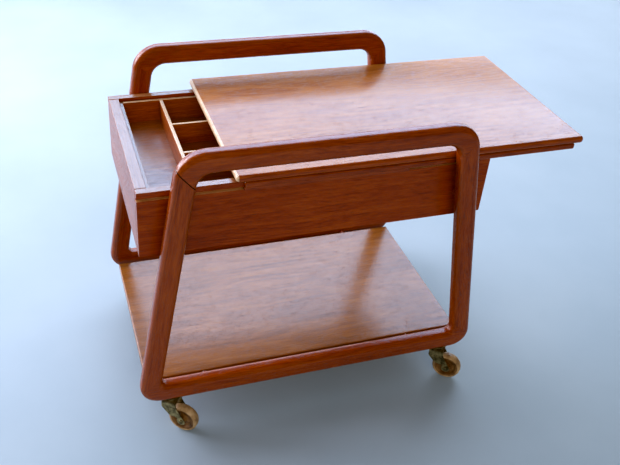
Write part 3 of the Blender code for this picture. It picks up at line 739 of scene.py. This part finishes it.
joints = {joint["name"]: joint for joint in frame["joints"]}
for side in ("front", "rear"):
    for end in ("left", "right"):
        caster = f"{side}_{end}_caster"
        swivel, roll = joints[caster + "_swivel"], joints[caster + "_roll"]
        swivel_spot, axle_spot = Vector(swivel["pos_m"]), Vector(roll["pos_m"])
        trail = Vector((axle_spot.x - swivel_spot.x, axle_spot.y - swivel_spot.y, 0)).normalized()
        turn = Matrix((trail, Vector((-trail.y, trail.x, 0)), (0, 0, 1))).transposed().to_4x4()
        stand = Matrix.Translation((swivel_spot.x, swivel_spot.y, 0)) @ turn
        axle_place = Matrix.Translation(axle_spot) @ turn @ ALONG_Y
        fork_box, stem_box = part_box(caster + "_fork"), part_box(caster + "_stem")
        top_z = fork_box[1].z
        rail_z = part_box(f"{side}_frame_bottom_rail")[0].z - 0.1 * MM
        stem_top = stem_box[1].z
        # the stem in the rail, its flange, the race and the riveted end inside the fork
        stem = [(0, stem_top), (3.6 * MM, stem_top), (4 * MM, stem_top - 1 * MM), (4 * MM, rail_z),
                (10.4 * MM, rail_z), (11 * MM, rail_z - 0.5 * MM), (11 * MM, rail_z - 1.4 * MM),
                (10 * MM, rail_z - 2 * MM), (8.4 * MM, rail_z - 2.2 * MM), (8.2 * MM, top_z + 0.6 * MM),
                (7.6 * MM, top_z + 0.2 * MM), (3 * MM, top_z + 0.2 * MM), (3 * MM, top_z - 2.2 * MM),
                (5 * MM, top_z - 2.2 * MM), (4.6 * MM, top_z - 3.4 * MM), (3 * MM, top_z - 4.1 * MM),
                (0, top_z - 4.3 * MM)]
        turned_piece(caster + "_stem", caster + "_pressed_stem", stem, 40, stand, AGED_BRASS, "cart")
        sheet = fork_mesh(caster + "_fork", stand, top_z)
        fork = finish_piece(caster + "_pressed_fork", sheet, [AGED_BRASS], caster + "_fork",
                            caster + "_fork")
        skin = fork.modifiers.new("sheet", "SOLIDIFY")
        skin.thickness, skin.offset = SHEET, 0.0
        rim = fork.modifiers.new("eased_cut_edge", "BEVEL")
        rim.width, rim.segments, rim.angle_limit = 0.45 * MM, 2, radians(50)
        head = FORK_HALF_WIDTH + 0.2 * MM
        # profiles from the outside in, in (radius, distance from the wheel's middle plane), then mirrored
        dome = [(0, head + 2 * MM), (1.8 * MM, head + 1.85 * MM), (3.4 * MM, head + 1.3 * MM),
                (4.5 * MM, head + 0.5 * MM), (4.7 * MM, head), (3 * MM, head)]
        turned_piece(caster + "_axle", caster + "_axle_rivet", mirrored(dome), 32,
                     axle_place, AGED_BRASS, caster + "_fork")
        # the boss round the rivet, the dish with one raised ring, and the rim that holds the tread
        face = [(3.3 * MM, 9.6 * MM), (6.2 * MM, 9.6 * MM), (6.9 * MM, 9.2 * MM), (7.4 * MM, 4.6 * MM),
                (8.4 * MM, 3.2 * MM), (11 * MM, 2.8 * MM), (11.6 * MM, 3.5 * MM), (12.6 * MM, 3.5 * MM),
                (13.2 * MM, 2.8 * MM), (16.2 * MM, 3.1 * MM), (17.6 * MM, 4.4 * MM), (18.8 * MM, 7.2 * MM),
                (19.8 * MM, 7.8 * MM), (22.4 * MM, 7.6 * MM)]
        turned_piece(caster + "_hub", caster + "_dished_hub", mirrored(face), 56,
                     axle_place, AMBER_HUB, caster + "_wheel")
        tread = [(22.6 * MM, 7.6 * MM), (22.9 * MM, 8.3 * MM), (23.6 * MM, 8.6 * MM), (24.4 * MM, 8.2 * MM),
                 (24.7 * MM, 7.7 * MM), (25.2 * MM, 7.9 * MM), (26.0 * MM, 7.3 * MM), (26.9 * MM, 5.8 * MM),
                 (27.5 * MM, 3.9 * MM), (27.8 * MM, 1.8 * MM)]
        turned_piece(caster + "_tyre", caster + "_tread", mirrored(tread), 64,
                     axle_place, AMBER_TREAD, caster + "_wheel")

# ------------------------------------------------------------------ floor, light and camera
# The cart stands on a plain pale floor in front of wide softboxes behind it, with a second soft light
# from the left, a weak warm one in front and a dim, even room. The sheen lights show only in gloss.

FLOOR_RADIUS = 14.0

# Painted concrete, sealed: pale cool grey with a faint cloudiness and a low sheen.
FLOOR_PAINT, floor_tree, floor_shader = new_finish("sealed_pale_concrete_paint")
floor_place = add(floor_tree, "TexCoord").outputs["Object"]
clouds = add(floor_tree, "TexNoise", {"Vector": floor_place, "Scale": 3.0, "Detail": 5.0}).outputs["Fac"]
floor_colour = add(floor_tree, "ValToRGB", {"Fac": clouds}, stops=[(0.3, "#a4b6c4"), (0.7, "#aec0ce")])
floor_tree.links.new(floor_colour.outputs["Color"], floor_shader.inputs["Base Color"])
floor_dullness = add(floor_tree, "MapRange", {0: clouds, 1: 0.3, 2: 0.7, 3: 0.42, 4: 0.52})
floor_tree.links.new(floor_dullness.outputs[0], floor_shader.inputs["Roughness"])
floor_shader.inputs["Specular IOR Level"].default_value = 0.15

floor_mesh = bpy.data.meshes.new("studio_floor")
floor_bm = bmesh.new()
bmesh.ops.create_circle(floor_bm, cap_ends=True, radius=FLOOR_RADIUS, segments=96)
floor_bm.to_mesh(floor_mesh)
floor_bm.free()
floor_mesh.materials.append(FLOOR_PAINT)
floor = bpy.data.objects.new("studio_floor", floor_mesh)
bpy.context.scene.collection.objects.link(floor)


def softbox(name, spot, aim, size, power, colour, in_gloss=True, in_diffuse=True):
    """A soft rectangular studio light."""
    data = bpy.data.lights.new(name, "AREA")
    data.shape = "RECTANGLE"
    data.size, data.size_y = size
    data.energy = power
    data.color = linear(colour)
    light = bpy.data.objects.new(name, data)
    light.location = spot
    light.rotation_mode = "QUATERNION"
    light.rotation_quaternion = (Vector(spot) - Vector(aim)).to_track_quat("Z", "Y")
    light.visible_camera = False
    light.visible_glossy = in_gloss
    light.visible_diffuse = in_diffuse
    bpy.context.scene.collection.objects.link(light)


softbox("window_softbox", (0.5, 2.5, 2.1), (0.2, 0.0, 0.4), (5.0, 2.4), 105, "#f4f6ff", in_gloss=False)
softbox("window_sheen", (0.9, 2.5, 3.12), (0.9, 0.0, 3.12), (6.4, 3.04), 395, "#b0d6ff", in_diffuse=False)
softbox("low_window_sheen", (0.6, 2.45, 0.70), (0.6, 0.0, 0.70), (6.0, 0.8), 55, "#dfeaff", in_diffuse=False)
softbox("left_softbox", (-2.2, 1.5, 1.3), (-0.3, 0.3, 0.2), (1.8, 1.8), 80, "#f2f0ff")
softbox("room_fill", (-0.6, -3.2, 2.0), (0.0, 0.0, 0.3), (2.5, 2.0), 36, "#fff1e4", in_gloss=False)

world = bpy.data.worlds.new("studio_room")
bpy.context.scene.world = world
world.use_nodes = True
backdrop = world.node_tree.nodes["Background"]
backdrop.inputs["Color"].default_value = (*linear("#dfe5ea"), 1.0)
backdrop.inputs["Strength"].default_value = 0.30
world.cycles_visibility.glossy = False

view = bpy.context.scene.view_settings
view.view_transform = "Standard"
view.look = "Medium High Contrast"
view.use_curve_mapping = True
view.curve_mapping.black_level = (0.002, 0.004, 0.007)
view.curve_mapping.update()

CAMERA_SPOT = (-0.51232, -1.18762, 1.17137)
CAMERA_TURN, CAMERA_DOWN, CAMERA_ROLL = -19.890, 34.187, 4.147      # degrees
camera_data = bpy.data.cameras.new("studio_camera")
camera_data.sensor_width = 36.0
camera_data.lens = 46.70
camera_data.shift_x, camera_data.shift_y = 0.0374, -0.0431
camera = bpy.data.objects.new("studio_camera", camera_data)
camera.matrix_world = (Matrix.Translation(CAMERA_SPOT)
                       @ Matrix.Rotation(radians(CAMERA_TURN), 4, "Z")
                       @ Matrix.Rotation(radians(90 - CAMERA_DOWN), 4, "X")
                       @ Matrix.Rotation(radians(CAMERA_ROLL), 4, "Z"))
bpy.context.scene.collection.objects.link(camera)
bpy.context.scene.camera = camera
